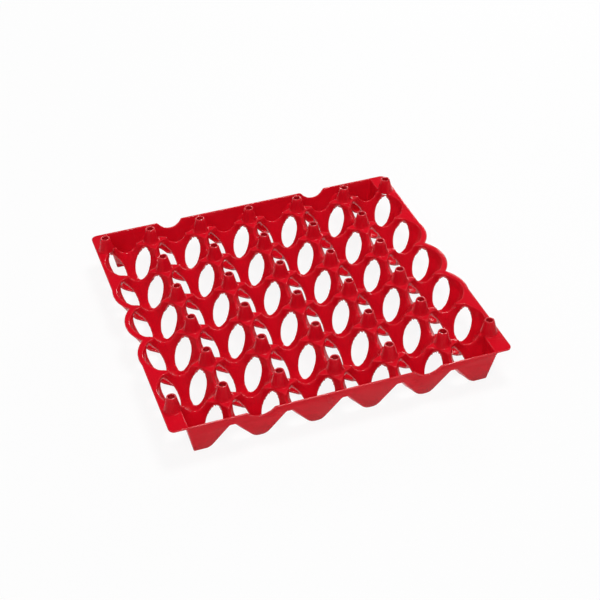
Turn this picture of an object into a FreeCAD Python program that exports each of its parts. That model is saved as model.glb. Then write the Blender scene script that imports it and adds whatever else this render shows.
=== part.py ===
"""Plastic egg tray: thirty egg cups, moulded in one piece with a thin even wall."""
import FreeCAD, Part
import math
import os

Vector = FreeCAD.Vector
ORIGIN = Vector(0, 0, 0)
RIGHT = Vector(1, 0, 0)
BACK = Vector(0, 1, 0)
UP = Vector(0, 0, 1)

# Driving dimensions, in millimetres and degrees. X runs across the tray, Y from front to back.
columns = 6                 # egg cups across the tray
rows = 5                    # egg cups from front to back
pitch = 48.5                # from one cup's centre to the next
wall = 1.8                  # thickness of the moulded wall

cup_overlap = 0.95          # how far each cup's mouth passes the line midway to its neighbour
cup_side_slope = 28.5       # degrees from upright, below the ridges between the cups
cup_floor_radius = 17.5     # rounded floor of the cup
foot_radius = 4.6           # flat pad under each cup
crest_depth = 7.8           # lowest point of the ridges between the cups, below the rim
crest_width = 1.8           # flat top of such a ridge
crest_radius = 9.4          # how the ridge dips between two posts, seen from its side

post_height = 13.6          # above the rim
post_base_radius = 7.4
post_top_radius = 4.1
post_hole_radius = 2.9
corner_post_inset = 5.4     # corner posts stand this far inside the outermost cups' outer line

window_wide_radius = 7.55   # a window is two circles joined by their outer tangents
window_wide_x = 12.0        # wide circle's centre, from the cup's axis
window_wide_y = 13.8
window_narrow_radius = 3.85
window_nose = 1.09          # how far the narrow circle stands out of the wide one, toward the cup's axis
window_slant = 53.49        # degrees from the X axis to the line through both centres

side_flange = 4.4           # flange outside the outermost cups' outer line
flange_lobe_rise = 0.9      # how far the three middle lobes of the flange stand out further
flange_lobe_radius = 37.0
flange_corner_radius = 6.0

end_wall_reach = 3.25       # top of the end walls' outer face, beyond the half bays' centres
wall_lean = 13.0            # degrees that the end walls lean inwards going down
corner_plate_inset = 9.6    # top of the corner plates' outer face, inside the cups' outer line
corner_plate_lean = 10.0    # degrees that those plates lean inwards
corner_foot_reach = 3.3     # how far the square corner feet pass the corner bay's centre
corner_foot_back = 10.0     # their back edge, behind the bay's centre
lobe_tip_radius = 9.2       # rounded lower tip of the end walls' lobes
lobe_flank_slope = 54.0     # degrees from level
lobe_gap_depth = 9.7        # the end wall between two lobes, from the rim down
lobe_spread = 30.0          # degrees by which a half bay widens from the end wall inwards

finger_notch_radius = 13.0
finger_notch_depth = 6.9
finger_notch_shoulder = 3.0

# Values that follow from them.
cup_mouth_radius = pitch / 2 + cup_overlap
crest_reach = pitch / 2 - crest_width / 2
mouth_slope = math.atan((cup_mouth_radius - crest_reach) / crest_depth)
side_slope = math.radians(cup_side_slope)
floor_centre_z = math.sqrt((cup_floor_radius + wall) ** 2 - foot_radius ** 2)
crest_z = floor_centre_z + (cup_floor_radius / math.cos(side_slope) - crest_reach) / -math.tan(side_slope)
rim_z = crest_z + crest_depth
half_x = columns * pitch / 2
half_y = rows * pitch / 2
edge_x = half_x + side_flange
edge_y = half_y + pitch / 2 + end_wall_reach
lean = math.tan(math.radians(wall_lean))
corner_lean = math.tan(math.radians(corner_plate_lean))
above = rim_z + 2 * post_height     # cutting tools end here
below = -pitch / 4                  # and start here


def spaced(count):
    """Positions of count features, one pitch apart, centred on zero."""
    return [(index - (count - 1) / 2) * pitch for index in range(count)]


def box(x0, x1, y0, y1, z0, z1):
    return Part.makeBox(x1 - x0, y1 - y0, z1 - z0, Vector(x0, y0, z0))


def line(a, b):
    return Part.LineSegment(a, b).toShape()


def arc(a, middle, b):
    return Part.Arc(a, middle, b).toShape()


def polygon(points):
    """Closed wire through the points."""
    return Part.makePolygon(points + points[:1])


def mirrored_four(shape):
    """The shape and its mirror images in the tray's two middle planes."""
    across = shape.mirror(ORIGIN, RIGHT)
    return [shape, across, shape.mirror(ORIGIN, BACK), across.mirror(ORIGIN, BACK)]


def cup_form(skin, x, y):
    """Solid of revolution that fills one cup, grown outwards by skin."""
    floor = cup_floor_radius + skin
    mouth_radius = cup_mouth_radius + skin / math.cos(mouth_slope)
    side_radius = crest_reach + skin / math.cos(side_slope)
    top_z = rim_z + wall
    top_radius = mouth_radius + wall * math.tan(mouth_slope)
    slopes_apart = math.tan(side_slope) - math.tan(mouth_slope)
    bend_drop = (mouth_radius - side_radius - crest_depth * math.tan(side_slope)) / slopes_apart
    bend_radius = mouth_radius + bend_drop * math.tan(mouth_slope)

    def on_floor(angle):
        return Vector(floor * math.cos(angle), 0, floor_centre_z - floor * math.sin(angle))

    points = [Vector(0, 0, top_z), Vector(top_radius, 0, top_z), Vector(bend_radius, 0, rim_z + bend_drop),
              on_floor(side_slope)]
    edges = [line(start, end) for start, end in zip(points, points[1:])]
    edges.append(arc(on_floor(side_slope), on_floor(side_slope / 2 + math.pi / 4), on_floor(math.pi / 2)))
    edges.append(line(on_floor(math.pi / 2), points[0]))
    form = Part.Face(Part.Wire(edges)).revolve(ORIGIN, UP, 360)
    form.translate(Vector(x, y, 0))
    return form


def crest_channel(start, end):
    """Cylinder from start to end that levels the crests it passes over."""
    lift = UP * (crest_z + crest_radius)
    return Part.makeCylinder(crest_radius, (end - start).Length, start + lift, end - start)


def window(x_side, y_side):
    """Upright cut through the cup's wall toward one corner."""
    slant = math.radians(window_slant)
    along = Vector(x_side * math.cos(slant), y_side * math.sin(slant), 0)
    aside = UP.cross(along)
    apart = window_wide_radius - window_narrow_radius + window_nose
    wide = Vector(x_side * window_wide_x, y_side * window_wide_y, below)
    narrow = wide - along * apart
    swing = (window_wide_radius - window_narrow_radius) / apart
    spread = math.sqrt(1 - swing ** 2)

    def at(centre, radius, side):
        return centre + (along * -swing + aside * (side * spread)) * radius

    edges = [
        arc(at(wide, window_wide_radius, 1), wide + along * window_wide_radius, at(wide, window_wide_radius, -1)),
        line(at(wide, window_wide_radius, -1), at(narrow, window_narrow_radius, -1)),
        arc(at(narrow, window_narrow_radius, -1), narrow - along * window_narrow_radius,
            at(narrow, window_narrow_radius, 1)),
        line(at(narrow, window_narrow_radius, 1), at(wide, window_wide_radius, 1)),
    ]
    return Part.Face(Part.Wire(edges)).extrude(UP * (above - below))


def cup_tile(side_reach):
    """One square of the tray around a cup at the origin, reaching side_reach to the right."""
    half = pitch / 2
    column = box(-half, side_reach, -half, half, 0, rim_z)
    plate = box(-half, side_reach, -half, half, rim_z - wall, rim_z)
    outer = cup_form(wall, 0, 0).common(column)
    solid = outer.fuse(plate)
    cuts = [cup_form(0, x, y) for x, y in ((0, 0), (-pitch, 0), (0, pitch), (0, -pitch))]
    cuts.append(crest_channel(BACK * -half, BACK * half))
    if side_reach > half:
        cuts.append(crest_channel(RIGHT * -half, ORIGIN))
    else:
        cuts.append(cup_form(0, pitch, 0))
        cuts.append(crest_channel(RIGHT * -half, RIGHT * half))
    cuts += [window(x_side, y_side) for x_side in (-1, 1) for y_side in (-1, 1)]
    return solid.cut(cuts)


def leaning_back(x, z, start):
    """Point of a plane that starts at start on the rim's level and leans back going down."""
    return Vector(x, start + (rim_z - z) * lean, z)


def outside_end(inset):
    """Space outside the end wall's face that lies inset behind its outer face; bay centre at the origin."""
    start = inset / math.cos(math.radians(wall_lean)) - end_wall_reach
    corners = [leaning_back(-pitch, above, start), leaning_back(-pitch, below, start),
               Vector(-pitch, -pitch, below), Vector(-pitch, -pitch, above)]
    return Part.Face(polygon(corners)).extrude(RIGHT * (3 * pitch))


def outside_corner(inset):
    """Space outside the corner plate's face that lies inset behind its outer face; bay centre at the origin."""
    rim_x = pitch / 2 - corner_plate_inset - inset / math.cos(math.radians(corner_plate_lean))
    corners = [Vector(rim_x + (above - rim_z) * corner_lean, -pitch, above),
               Vector(rim_x - (rim_z - below) * corner_lean, -pitch, below),
               Vector(2 * pitch, -pitch, below), Vector(2 * pitch, -pitch, above)]
    return Part.Face(polygon(corners)).extrude(BACK * (2 * pitch))


def lobe_section(skin, start):
    """Wire of a lobe's outline, grown by skin, in a leaning plane; the walls between lobes are part of it."""
    slope = math.radians(lobe_flank_slope)
    tip = lobe_tip_radius - wall + skin
    flank_x = tip * math.sin(slope)
    flank_z = lobe_tip_radius - tip * math.cos(slope)
    shoulder_z = rim_z - lobe_gap_depth + wall - skin
    shoulder_x = flank_x + (shoulder_z - flank_z) / math.tan(slope)
    far = 2 * pitch
    right = [leaning_back(x, z, start) for x, z in
             ((flank_x, flank_z), (shoulder_x, shoulder_z), (far, shoulder_z), (far, above))]
    left = [Vector(-point.x, point.y, point.z) for point in reversed(right)]
    points = right + left
    edges = [line(a, b) for a, b in zip(points, points[1:])]
    edges.append(arc(left[-1], leaning_back(0, lobe_tip_radius - tip, start), right[0]))
    return Part.Wire(edges)


def lobe_form(skin):
    """Solid that narrows a half bay toward the end wall."""
    sections = []
    for start in (-end_wall_reach - wall, pitch / 2):
        widening = (start + end_wall_reach) * math.tan(math.radians(lobe_spread))
        sections.append(lobe_section(skin + widening, start))
    return Part.makeLoft(sections, True, True)


def bay_cavity(x):
    """Inside of one half bay whose centre is at x, up to the end wall's inner face."""
    lobe = lobe_form(0)
    lobe.translate(RIGHT * x)
    return cup_form(0, x, 0).common(lobe)


def end_tile(corner):
    """Front half bay at the origin with its piece of end wall; corner bays also have the slanted plate."""
    half = pitch / 2
    side_reach = half + side_flange + flange_lobe_rise if corner else half
    column = box(-half, side_reach, -pitch, half, 0, rim_z)
    plate = box(-half, side_reach, -pitch, half, rim_z - wall, rim_z)
    outside = outside_end(0)
    lobe = lobe_form(wall)
    bowl = cup_form(wall, 0, 0).common(lobe).common(column)
    panel = lobe.common(outside_end(wall)).common(column)
    solid = bowl.fuse(panel)
    cavity = [bay_cavity(0), bay_cavity(-pitch)]
    if corner:
        cavity.append(crest_channel(RIGHT * -half, ORIGIN))
        solid = solid.fuse(corner_block(wall)).cut(outside_corner(0))
        cavity.append(corner_block(0))
        cavity = [part.cut(outside_corner(wall)) for part in cavity]
    else:
        cavity.append(bay_cavity(pitch))
        cavity.append(crest_channel(RIGHT * -half, RIGHT * half))
    cavity = [part.cut(outside_end(wall)) for part in cavity]
    cavity.append(cup_form(0, 0, pitch))
    cavity.append(crest_channel(ORIGIN, BACK * half))
    cavity.append(window(-1, 1))
    if not corner:
        cavity.append(window(1, 1))
    return solid.fuse(plate).cut([outside] + cavity)


def corner_block(skin):
    """Square foot under each corner of the tray."""
    left = wall - corner_foot_reach - skin
    return box(left, 2 * pitch, -pitch, corner_foot_back - wall + skin, wall - skin, rim_z)


def tray_outline():
    """The tray seen from above: straight ends, and side flanges with three rounded lobes."""
    lobe_x = edge_x + flange_lobe_rise
    centre_x = lobe_x - flange_lobe_radius
    notch_y = pitch / 2
    notch_x = centre_x + math.sqrt(flange_lobe_radius ** 2 - notch_y ** 2)
    end_y = pitch + math.sqrt(flange_lobe_radius ** 2 - (edge_x - centre_x) ** 2)
    corner = flange_corner_radius
    corner_mid = corner * (1 - math.sqrt(0.5))
    lower = [
        arc(Vector(edge_x - corner, -edge_y, 0), Vector(edge_x - corner_mid, corner_mid - edge_y, 0),
            Vector(edge_x, corner - edge_y, 0)),
        line(Vector(edge_x, corner - edge_y, 0), Vector(edge_x, -end_y, 0)),
        arc(Vector(edge_x, -end_y, 0), Vector(lobe_x, -pitch, 0), Vector(notch_x, -notch_y, 0)),
    ]
    side = lower + [arc(Vector(notch_x, -notch_y, 0), Vector(lobe_x, 0, 0), Vector(notch_x, notch_y, 0))]
    side += [edge.mirror(ORIGIN, BACK) for edge in lower]
    other_side = [edge.mirror(ORIGIN, RIGHT) for edge in side]
    ends = [line(Vector(corner - edge_x, y, 0), Vector(edge_x - corner, y, 0)) for y in (-edge_y, edge_y)]
    return Part.Wire(Part.__sortEdges__(side + other_side + ends))


def moved(shape, x, y):
    copy = shape.copy()
    copy.translate(Vector(x, y, 0))
    return copy


def openwork():
    """All tiles of the tray, joined and cut to its outline."""
    half = pitch / 2
    inner_columns = [x for x in spaced(columns) if abs(x) < half_x - pitch]
    middle = cup_tile(half)
    side = cup_tile(half + side_flange + flange_lobe_rise)
    end = end_tile(False)
    corner = end_tile(True)
    bay_y = half_y + half
    tiles = [moved(middle, x, y) for x in inner_columns for y in spaced(rows)]
    for y in spaced(rows):
        right = moved(side, half_x - half, y)
        tiles += [right, right.mirror(ORIGIN, RIGHT)]
    for x in inner_columns:
        front = moved(end, x, -bay_y)
        tiles += [front, front.mirror(ORIGIN, BACK)]
    tiles += mirrored_four(moved(corner, half_x - half, -bay_y))
    prism = Part.Face(tray_outline()).extrude(UP * rim_z)
    return tiles[0].multiFuse(tiles[1:]).common(prism)


def post_places():
    """Centres of the hollow posts: between four cups, and one near each corner."""
    places = [(x, y) for x in spaced(columns - 1) for y in spaced(rows + 1)]
    corner_x = half_x - corner_post_inset
    return places + [(x, y) for x in (-corner_x, corner_x) for y in (-half_y, half_y)]


def posts():
    return [Part.makeCone(post_base_radius, post_top_radius, post_height, Vector(x, y, rim_z))
            for x, y in post_places()]


def post_hollows():
    """The open inside of each post, one wall inside its cone, with a hole at the top."""
    return [Part.makeCone(post_base_radius - wall, post_hole_radius, post_height + wall,
                          Vector(x, y, rim_z - wall)) for x, y in post_places()]


def finger_notches():
    """Rounded notches in the top of the end walls, one bay in from each corner."""
    shoulder = finger_notch_shoulder
    radius = finger_notch_radius
    centre_z = rim_z + radius - finger_notch_depth
    shoulder_z = rim_z - shoulder
    shoulder_x = math.sqrt((radius + shoulder) ** 2 - (centre_z - shoulder_z) ** 2)
    share = radius / (radius + shoulder)
    join_x = shoulder_x * share
    join_z = centre_z + (shoulder_z - centre_z) * share
    half_angle = math.atan2(shoulder_x - join_x, join_z - shoulder_z) / 2
    bend_x = shoulder_x - shoulder * math.sin(half_angle)
    bend_z = shoulder_z + shoulder * math.cos(half_angle)
    top = rim_z + radius

    def at(x, z):
        return Vector(x, -edge_y - wall, z)

    edges = [
        line(at(-shoulder_x, top), at(-shoulder_x, rim_z)),
        arc(at(-shoulder_x, rim_z), at(-bend_x, bend_z), at(-join_x, join_z)),
        arc(at(-join_x, join_z), at(0, centre_z - radius), at(join_x, join_z)),
        arc(at(join_x, join_z), at(bend_x, bend_z), at(shoulder_x, rim_z)),
        line(at(shoulder_x, rim_z), at(shoulder_x, top)),
        line(at(shoulder_x, top), at(-shoulder_x, top)),
    ]
    notch = Part.Face(Part.Wire(edges)).extrude(BACK * (end_wall_reach + 2 * wall))
    notch.translate(RIGHT * (half_x - 1.5 * pitch))
    return mirrored_four(notch)


def egg_tray():
    shell = openwork().cut(finger_notches())
    return shell.multiFuse(posts()).cut(post_hollows()).removeSplitter()


os.makedirs("parts", exist_ok=True)
tray = egg_tray()
tray.exportStep("parts/egg_tray.step")
size = tray.optimalBoundingBox()
print("egg_tray: %d solid, valid %s, %.1f x %.1f x %.1f mm, %.1f cm3"
      % (len(tray.Solids), tray.isValid(), size.XLength, size.YLength, size.ZLength, tray.Volume / 1000))
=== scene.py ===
"""Plastic egg tray for thirty eggs: the moulded shell, its plastic and a plain studio stage."""
import math

import bpy
from bpy.props import FloatProperty, FloatVectorProperty, IntProperty, PointerProperty
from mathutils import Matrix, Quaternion, Vector


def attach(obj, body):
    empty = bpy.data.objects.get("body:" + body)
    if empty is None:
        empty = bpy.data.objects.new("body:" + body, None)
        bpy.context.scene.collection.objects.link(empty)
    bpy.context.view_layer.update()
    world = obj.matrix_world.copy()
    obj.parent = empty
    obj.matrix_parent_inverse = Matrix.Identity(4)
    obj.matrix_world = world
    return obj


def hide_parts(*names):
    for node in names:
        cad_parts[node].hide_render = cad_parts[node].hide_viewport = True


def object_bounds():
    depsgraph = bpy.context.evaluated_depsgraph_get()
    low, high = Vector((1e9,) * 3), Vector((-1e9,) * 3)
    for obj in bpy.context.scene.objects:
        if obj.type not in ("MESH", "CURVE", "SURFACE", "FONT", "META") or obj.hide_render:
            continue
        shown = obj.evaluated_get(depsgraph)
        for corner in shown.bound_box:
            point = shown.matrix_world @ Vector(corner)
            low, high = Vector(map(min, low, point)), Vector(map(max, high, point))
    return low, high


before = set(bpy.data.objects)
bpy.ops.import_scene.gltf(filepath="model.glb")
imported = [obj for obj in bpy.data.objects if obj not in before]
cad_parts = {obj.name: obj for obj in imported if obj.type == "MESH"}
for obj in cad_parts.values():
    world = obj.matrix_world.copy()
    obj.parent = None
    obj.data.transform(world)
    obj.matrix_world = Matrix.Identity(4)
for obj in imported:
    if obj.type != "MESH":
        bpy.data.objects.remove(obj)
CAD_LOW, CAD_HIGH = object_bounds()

bl_info = {
    "name": "Plastic Egg Tray",
    "version": (1, 0, 0),
    "blender": (4, 5, 0),
    "location": "View3D > Sidebar > Egg Tray",
    "description": "Builds a moulded egg tray for thirty eggs, with its plastic and a stage",
    "category": "Object",
}

NODE = "egg_tray"
JOIN_WITHIN = 0.000002      # metres within which the CAD copy's loose corners are joined
EASING = 0.5                # how far each pass draws a corner toward its neighbours

# The plastic
FLOW_SCALE = 28.0           # flow marks in a metre
FLOW_DETAIL = 4.0
FLOW_BEND = 1.2             # how much the flow marks wander
FLOW_FAINT, FLOW_FULL = 0.35, 0.75      # noise at which a flow mark starts and is full
FLOW_ROUGHER = 0.10         # roughness that a full flow mark adds
GRAIN_DETAIL = 3.0
SKIN_SHINE = 0.08           # specular level of the plastic
POLISH_ROUGHNESS = 0.12     # of the polished edges
POLISH_IOR = 1.7
EDGE_STARTS = 0.94          # how open the wall is under its skin where an edge starts to polish and to be painted paler as a highlight
EDGE_FULL = 0.62            # and where it is fully polished and fully painted with that highlight
EDGE_SAMPLES = 8
COLOUR_A, COLOUR_B, COLOUR_OUT = 6, 7, 2    # sockets of a Mix node that mixes colours

# The stage
SENSOR_WIDTH = 36.0         # millimetres
NEAREST, FARTHEST = 0.05, 50.0          # metres from the camera that it shows
FLOOR_SIDE = 12.0           # metres
FLOOR_GLOW = 0.9            # share of the floor's look that is plain white beside the tray
FADE_START = 0.4            # metres from the middle, where the floor starts to fade into the room
FADE_END = 1.5
WHITE = (1.0, 1.0, 1.0, 1.0)
ROOM_LIGHT = 0.60           # share of the room's brightness that lights the tray
WALL_TOP = 0.10             # sine of the angle above the horizon where the white wall dims
CEILING_EDGE = 0.45         # and where the ceiling starts
CEILING_BRIGHTNESS = 0.05
LAMPS = (
    # name, place in metres, side in metres, power in watts, whether it shows in the gloss
    ("front_fill", (-0.6, -1.3, 1.5), 1.4, 18.0, False),
    ("overhead", (0.35, 0.20, 1.6), 0.5, 15.0, True),
    ("back_left", (-0.95, 1.05, 0.50), 0.3, 2.5, True),
    ("back_right", (0.9, 1.15, 0.45), 0.3, 5.0, True),
)


class TrayShellSizes(bpy.types.PropertyGroup):
    """Sizes of the moulded shell."""
    edge_cell: FloatProperty(
        name="Edge Cell",
        description="Grid that the shell is rebuilt on; edges are rounded at about this size",
        default=0.00055, min=0.0002, max=0.002, precision=5, unit="LENGTH")
    edge_passes: IntProperty(
        name="Edge Passes",
        description="How many times the rebuilt shell's edges are eased",
        default=6, min=0, max=40)
    facets: IntProperty(
        name="Facets",
        description="Triangles left in the finished shell",
        default=190000, min=20000, max=199000)


class TrayFinish(bpy.types.PropertyGroup):
    """Colour and surface of the plastic."""
    colour: FloatVectorProperty(
        name="Colour",
        description="Colour of the plastic",
        default=(0.70, 0.004, 0.016, 1.0), min=0.0, max=1.0, size=4, subtype="COLOR")
    flow_colour: FloatVectorProperty(
        name="Flow Colour",
        description="Colour of the faint flow marks left by moulding",
        default=(0.62, 0.004, 0.014, 1.0), min=0.0, max=1.0, size=4, subtype="COLOR")
    # The edge colour below is a painted highlight: a paler colour painted along the edges where
    # they catch the light, on top of their real gloss.
    edge_highlight_colour: FloatVectorProperty(
        name="Edge Colour",
        description="Paler colour of edges polished by stacking",
        default=(0.95, 0.16, 0.18, 1.0), min=0.0, max=1.0, size=4, subtype="COLOR")
    # How strongly that painted highlight shows on the edges.
    edge_highlight_share: FloatProperty(
        name="Edge Share",
        description="How strongly the paler colour shows on polished edges",
        default=0.30, min=0.0, max=1.0, subtype="FACTOR")
    # Width of the glossy edges and of the highlight painted along them.
    edge_width: FloatProperty(
        name="Edge Width",
        description="Width of the polished edges",
        default=0.0011, precision=5, unit="LENGTH")
    roughness: FloatProperty(
        name="Roughness",
        description="Roughness of the surface between flow marks",
        default=0.20, min=0.0, max=1.0, subtype="FACTOR")
    grain_size: FloatProperty(
        name="Grain Size",
        description="Size of the fine grain left by the mould",
        default=0.0006, min=0.00001, precision=5, unit="LENGTH")
    grain_height: FloatProperty(
        name="Grain Height",
        description="Height of that grain",
        default=0.00002, precision=6, unit="LENGTH")


class TrayStage(bpy.types.PropertyGroup):
    """Floor, lamps and camera."""
    azimuth: FloatProperty(
        name="Azimuth",
        description="Direction the camera looks from, around the tray",
        default=math.radians(-17.42), subtype="ANGLE")
    elevation: FloatProperty(
        name="Elevation",
        description="Height of the camera above the horizon",
        default=math.radians(36.74), subtype="ANGLE")
    roll: FloatProperty(
        name="Roll",
        description="Turn of the camera about its line of sight",
        default=math.radians(-2.26), subtype="ANGLE")
    distance: FloatProperty(
        name="Distance",
        description="From the camera to the point it looks at",
        default=1.2654, precision=4, unit="LENGTH")
    target: FloatVectorProperty(
        name="Target",
        description="Point that the camera looks at, level with the tops of the posts",
        default=(-0.00165, -0.03633), size=2, precision=5, unit="LENGTH")
    lens: FloatProperty(
        name="Lens",
        description="Focal length in millimetres",
        default=87.02, min=10.0, max=300.0, unit="CAMERA")
    floor_colour: FloatVectorProperty(
        name="Floor Colour",
        description="Colour of the floor",
        default=(0.9, 0.9, 0.9, 1.0), min=0.0, max=1.0, size=4, subtype="COLOR")


def only(piece):
    """Leaves the piece selected and active, and nothing else."""
    if bpy.context.mode != "OBJECT":
        bpy.ops.object.mode_set(mode="OBJECT")
    bpy.ops.object.select_all(action="DESELECT")
    piece.select_set(True)
    bpy.context.view_layer.objects.active = piece


def finish_with(piece, kind, **settings):
    """Adds a modifier with these settings and applies it."""
    only(piece)
    modifier = piece.modifiers.new(kind.title(), kind)
    for name, value in settings.items():
        setattr(modifier, name, value)
    bpy.ops.object.modifier_apply(modifier=modifier.name)


def triangle_count(mesh):
    mesh.calc_loop_triangles()
    return len(mesh.loop_triangles)


def shell_copy():
    """Copy of the tray's CAD solid, with its loose triangles joined."""
    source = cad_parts[NODE]
    piece = bpy.data.objects.new("tray_shell", source.data.copy())
    bpy.context.scene.collection.objects.link(piece)
    piece.data.materials.clear()
    only(piece)
    bpy.ops.object.mode_set(mode="EDIT")
    bpy.ops.mesh.select_all(action="SELECT")
    bpy.ops.mesh.remove_doubles(threshold=JOIN_WITHIN)
    bpy.ops.object.mode_set(mode="OBJECT")
    return piece


# Materials

def group_socket(group, name, in_out, kind="NodeSocketFloat"):
    group.interface.new_socket(name=name, in_out=in_out, socket_type=kind)


def mould_grain_group():
    """Group that gives a mask of flow marks, the grain's height and the roughness over both."""
    group = bpy.data.node_groups.new("Mould Grain", "ShaderNodeTree")
    group_socket(group, "Vector", "INPUT", "NodeSocketVector")
    for name in ("Grain Scale", "Flow Scale", "Roughness"):
        group_socket(group, name, "INPUT")
    for name in ("Flow", "Height", "Roughness"):
        group_socket(group, name, "OUTPUT")
    nodes, links = group.nodes, group.links
    start = nodes.new("NodeGroupInput")
    end = nodes.new("NodeGroupOutput")
    grain = nodes.new("ShaderNodeTexNoise")
    grain.inputs["Detail"].default_value = GRAIN_DETAIL
    flow = nodes.new("ShaderNodeTexNoise")
    flow.inputs["Detail"].default_value = FLOW_DETAIL
    flow.inputs["Distortion"].default_value = FLOW_BEND
    ramp = nodes.new("ShaderNodeMapRange")
    ramp.inputs["From Min"].default_value = FLOW_FAINT
    ramp.inputs["From Max"].default_value = FLOW_FULL
    rougher = nodes.new("ShaderNodeMath")
    rougher.operation = "MULTIPLY_ADD"
    rougher.inputs[1].default_value = FLOW_ROUGHER
    links.new(start.outputs["Vector"], grain.inputs["Vector"])
    links.new(start.outputs["Grain Scale"], grain.inputs["Scale"])
    links.new(start.outputs["Vector"], flow.inputs["Vector"])
    links.new(start.outputs["Flow Scale"], flow.inputs["Scale"])
    links.new(flow.outputs["Fac"], ramp.inputs["Value"])
    links.new(ramp.outputs["Result"], end.inputs["Flow"])
    links.new(grain.outputs["Fac"], end.inputs["Height"])
    links.new(ramp.outputs["Result"], rougher.inputs[0])
    links.new(start.outputs["Roughness"], rougher.inputs[2])
    links.new(rougher.outputs["Value"], end.inputs["Roughness"])
    return group


def new_material(name):
    material = bpy.data.materials.new(name)
    material.use_nodes = True
    nodes = material.node_tree.nodes
    nodes.clear()
    return material, nodes, material.node_tree.links


def tray_plastic(finish):
    """Semi-gloss moulded plastic with faint flow marks, a fine grain, glossy polished edges and a
    highlight painted in a paler colour along those edges.
    """
    material, nodes, links = new_material("tray_plastic")
    place = nodes.new("ShaderNodeTexCoord")
    grain = nodes.new("ShaderNodeGroup")
    grain.node_tree = mould_grain_group()
    grain.inputs["Grain Scale"].default_value = 1.0 / finish.grain_size
    grain.inputs["Flow Scale"].default_value = FLOW_SCALE
    grain.inputs["Roughness"].default_value = finish.roughness
    colour = nodes.new("ShaderNodeMix")
    colour.data_type = "RGBA"
    colour.inputs[COLOUR_A].default_value = finish.colour
    colour.inputs[COLOUR_B].default_value = finish.flow_colour
    wall = nodes.new("ShaderNodeAmbientOcclusion")
    wall.inside = True
    wall.only_local = True
    wall.samples = EDGE_SAMPLES
    wall.inputs["Distance"].default_value = finish.edge_width
    edge = nodes.new("ShaderNodeMapRange")
    edge.inputs["From Min"].default_value = EDGE_STARTS
    edge.inputs["From Max"].default_value = EDGE_FULL
    # The edge mask also paints a paler colour into the base colour along the edges: a painted
    # highlight, besides the real gloss it gives through Coat Weight.
    paler = nodes.new("ShaderNodeMath")
    paler.operation = "MULTIPLY"
    paler.inputs[1].default_value = finish.edge_highlight_share
    painted_edge_highlight = nodes.new("ShaderNodeMix")
    painted_edge_highlight.data_type = "RGBA"
    painted_edge_highlight.inputs[COLOUR_B].default_value = finish.edge_highlight_colour
    bump = nodes.new("ShaderNodeBump")
    bump.inputs["Distance"].default_value = finish.grain_height
    shader = nodes.new("ShaderNodeBsdfPrincipled")
    shader.inputs["Specular IOR Level"].default_value = SKIN_SHINE
    shader.inputs["Coat Roughness"].default_value = POLISH_ROUGHNESS
    shader.inputs["Coat IOR"].default_value = POLISH_IOR
    end = nodes.new("ShaderNodeOutputMaterial")
    links.new(place.outputs["Object"], grain.inputs["Vector"])
    links.new(grain.outputs["Flow"], colour.inputs[0])
    links.new(wall.outputs["AO"], edge.inputs["Value"])
    links.new(edge.outputs["Result"], shader.inputs["Coat Weight"])
    links.new(edge.outputs["Result"], paler.inputs[0])
    links.new(paler.outputs["Value"], painted_edge_highlight.inputs[0])
    links.new(colour.outputs[COLOUR_OUT], painted_edge_highlight.inputs[COLOUR_A])
    links.new(painted_edge_highlight.outputs[COLOUR_OUT], shader.inputs["Base Color"])
    links.new(grain.outputs["Roughness"], shader.inputs["Roughness"])
    links.new(grain.outputs["Height"], bump.inputs["Height"])
    links.new(bump.outputs["Normal"], shader.inputs["Normal"])
    links.new(shader.outputs["BSDF"], end.inputs["Surface"])
    return material


def seen_as_background(nodes, links):
    """Output that is 1 for rays from the camera, and for those that a mirror or glass sends on."""
    light = nodes.new("ShaderNodeLightPath")
    first = nodes.new("ShaderNodeMath")
    first.operation = "MAXIMUM"
    second = nodes.new("ShaderNodeMath")
    second.operation = "MAXIMUM"
    links.new(light.outputs["Is Camera Ray"], first.inputs[0])
    links.new(light.outputs["Is Glossy Ray"], first.inputs[1])
    links.new(first.outputs["Value"], second.inputs[0])
    links.new(light.outputs["Is Transmission Ray"], second.inputs[1])
    return second.outputs["Value"]


def floor_paper(stage):
    """White paper that keeps the tray's soft shadow and fades into the white room farther out."""
    material, nodes, links = new_material("floor_paper")
    place = nodes.new("ShaderNodeTexCoord")
    away = nodes.new("ShaderNodeVectorMath")
    away.operation = "LENGTH"
    fade = nodes.new("ShaderNodeMapRange")
    fade.inputs["From Min"].default_value = FADE_START
    fade.inputs["From Max"].default_value = FADE_END
    fade.inputs["To Min"].default_value = FLOOR_GLOW
    fade.inputs["To Max"].default_value = 1.0
    paper = nodes.new("ShaderNodeBsdfDiffuse")
    paper.inputs["Color"].default_value = stage.floor_colour
    glow = nodes.new("ShaderNodeEmission")
    glow.inputs["Color"].default_value = WHITE
    seen = nodes.new("ShaderNodeMixShader")
    share = nodes.new("ShaderNodeMath")
    share.operation = "MULTIPLY"
    end = nodes.new("ShaderNodeOutputMaterial")
    links.new(place.outputs["Object"], away.inputs[0])
    links.new(away.outputs["Value"], fade.inputs["Value"])
    links.new(seen_as_background(nodes, links), share.inputs[0])
    links.new(fade.outputs["Result"], share.inputs[1])
    links.new(share.outputs["Value"], seen.inputs["Fac"])
    links.new(paper.outputs["BSDF"], seen.inputs[1])
    links.new(glow.outputs["Emission"], seen.inputs[2])
    links.new(seen.outputs["Shader"], end.inputs["Surface"])
    return material


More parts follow.
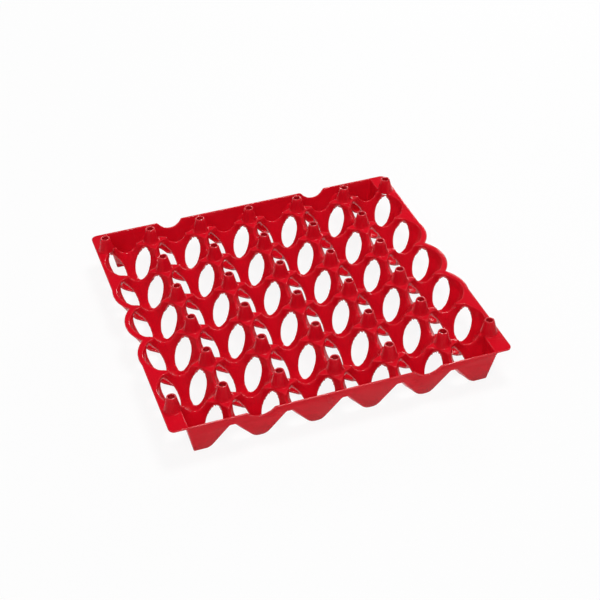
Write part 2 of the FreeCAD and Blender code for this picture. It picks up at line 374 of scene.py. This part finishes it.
def studio_world():
    """White room, weaker as a light than it looks, with a ceiling that is dim in reflections."""
    world = bpy.data.worlds.new("studio")
    bpy.context.scene.world = world
    world.use_nodes = True
    nodes, links = world.node_tree.nodes, world.node_tree.links
    nodes.clear()
    place = nodes.new("ShaderNodeTexCoord")
    part = nodes.new("ShaderNodeSeparateXYZ")
    height = nodes.new("ShaderNodeMapRange")
    height.interpolation_type = "SMOOTHSTEP"
    height.inputs["From Min"].default_value = WALL_TOP
    height.inputs["From Max"].default_value = CEILING_EDGE
    height.inputs["To Min"].default_value = 1.0
    height.inputs["To Max"].default_value = CEILING_BRIGHTNESS
    share = nodes.new("ShaderNodeMapRange")
    share.inputs["To Min"].default_value = ROOM_LIGHT
    share.inputs["To Max"].default_value = 1.0
    strength = nodes.new("ShaderNodeMath")
    strength.operation = "MULTIPLY"
    light = nodes.new("ShaderNodeLightPath")
    white = nodes.new("ShaderNodeMath")
    white.operation = "MAXIMUM"
    room = nodes.new("ShaderNodeBackground")
    room.inputs["Color"].default_value = WHITE
    end = nodes.new("ShaderNodeOutputWorld")
    links.new(place.outputs["Generated"], part.inputs["Vector"])
    links.new(part.outputs["Z"], height.inputs["Value"])
    links.new(seen_as_background(nodes, links), share.inputs["Value"])
    links.new(height.outputs["Result"], strength.inputs[0])
    links.new(share.outputs["Result"], strength.inputs[1])
    links.new(strength.outputs["Value"], white.inputs[0])
    links.new(light.outputs["Is Camera Ray"], white.inputs[1])
    links.new(white.outputs["Value"], room.inputs["Strength"])
    links.new(room.outputs["Background"], end.inputs["Surface"])


# Operators

class EGG_TRAY_OT_shell(bpy.types.Operator):
    """Build the moulded shell with its thirty cups, posts and walls"""
    bl_idname = "egg_tray.shell"
    bl_label = "Tray Shell"

    def execute(self, context):
        sizes = context.scene.egg_tray_shell
        piece = shell_copy()
        finish_with(piece, "REMESH", mode="VOXEL", voxel_size=sizes.edge_cell)
        finish_with(piece, "SMOOTH", factor=EASING, iterations=sizes.edge_passes)
        finish_with(piece, "DECIMATE", ratio=sizes.facets / triangle_count(piece.data))
        only(piece)
        bpy.ops.object.shade_smooth()
        piece.data.materials.append(tray_plastic(context.scene.egg_tray_finish))
        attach(piece, "root")
        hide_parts(NODE)
        return {"FINISHED"}


class EGG_TRAY_OT_stage(bpy.types.Operator):
    """Set the floor, the lamps and the camera"""
    bl_idname = "egg_tray.stage"
    bl_label = "Studio Stage"

    def execute(self, context):
        stage = context.scene.egg_tray_stage
        self.floor(stage)
        self.lamps()
        self.camera(context, stage)
        studio_world()
        context.scene.view_settings.view_transform = "Standard"
        return {"FINISHED"}

    def floor(self, stage):
        bpy.ops.object.select_all(action="DESELECT")
        bpy.ops.mesh.primitive_plane_add(size=FLOOR_SIDE, location=(0.0, 0.0, CAD_LOW.z))
        floor = bpy.context.active_object
        floor.name = "floor"
        floor.data.materials.append(floor_paper(stage))

    def lamps(self):
        middle = Vector((0.0, 0.0, CAD_HIGH.z))
        for name, place, size, power, gloss in LAMPS:
            lamp = bpy.data.lights.new(name, "AREA")
            lamp.shape = "SQUARE"
            lamp.size = size
            lamp.energy = power
            holder = bpy.data.objects.new(name, lamp)
            bpy.context.scene.collection.objects.link(holder)
            holder.visible_glossy = gloss
            holder.location = place
            aim = middle - holder.location
            holder.rotation_euler = aim.to_track_quat("-Z", "Y").to_euler()

    def camera(self, context, stage):
        target = Vector((stage.target[0], stage.target[1], CAD_HIGH.z))
        level = math.cos(stage.elevation)
        back = Vector((math.sin(stage.azimuth) * level,
                       -math.cos(stage.azimuth) * level,
                       math.sin(stage.elevation)))
        lens = bpy.data.cameras.new("camera")
        lens.sensor_width = SENSOR_WIDTH
        lens.lens = stage.lens
        lens.clip_start = NEAREST
        lens.clip_end = FARTHEST
        camera = bpy.data.objects.new("camera", lens)
        context.scene.collection.objects.link(camera)
        camera.location = target + back * stage.distance
        camera.rotation_mode = "QUATERNION"
        camera.rotation_quaternion = Quaternion(back, stage.roll) @ back.to_track_quat("Z", "Y")
        context.scene.camera = camera


class EGG_TRAY_PT_panel(bpy.types.Panel):
    """Sizes, finish and stage of the egg tray"""
    bl_idname = "EGG_TRAY_PT_panel"
    bl_label = "Egg Tray"
    bl_space_type = "VIEW_3D"
    bl_region_type = "UI"
    bl_category = "Egg Tray"

    def draw(self, context):
        for group, _kind, operator in GROUPS:
            box = self.layout.box()
            settings = getattr(context.scene, group)
            for name in settings.__annotations__:
                box.prop(settings, name)
            if operator:
                box.operator(operator)


GROUPS = (
    # name in the scene, its sizes or colours, and the operator that uses them
    ("egg_tray_shell", TrayShellSizes, "egg_tray.shell"),
    ("egg_tray_finish", TrayFinish, None),      # the shell's operator uses these too
    ("egg_tray_stage", TrayStage, "egg_tray.stage"),
)
CLASSES = (
    TrayShellSizes, TrayFinish, TrayStage,
    EGG_TRAY_OT_shell, EGG_TRAY_OT_stage, EGG_TRAY_PT_panel,
)


def register():
    for kind in CLASSES:
        bpy.utils.register_class(kind)
    for name, kind, _operator in GROUPS:
        setattr(bpy.types.Scene, name, PointerProperty(type=kind))


def unregister():
    for name, _kind, _operator in reversed(GROUPS):
        delattr(bpy.types.Scene, name)
    for kind in reversed(CLASSES):
        bpy.utils.unregister_class(kind)


def main():
    register()
    bpy.ops.egg_tray.shell()
    bpy.ops.egg_tray.stage()


if __name__ == "__main__":
    main()
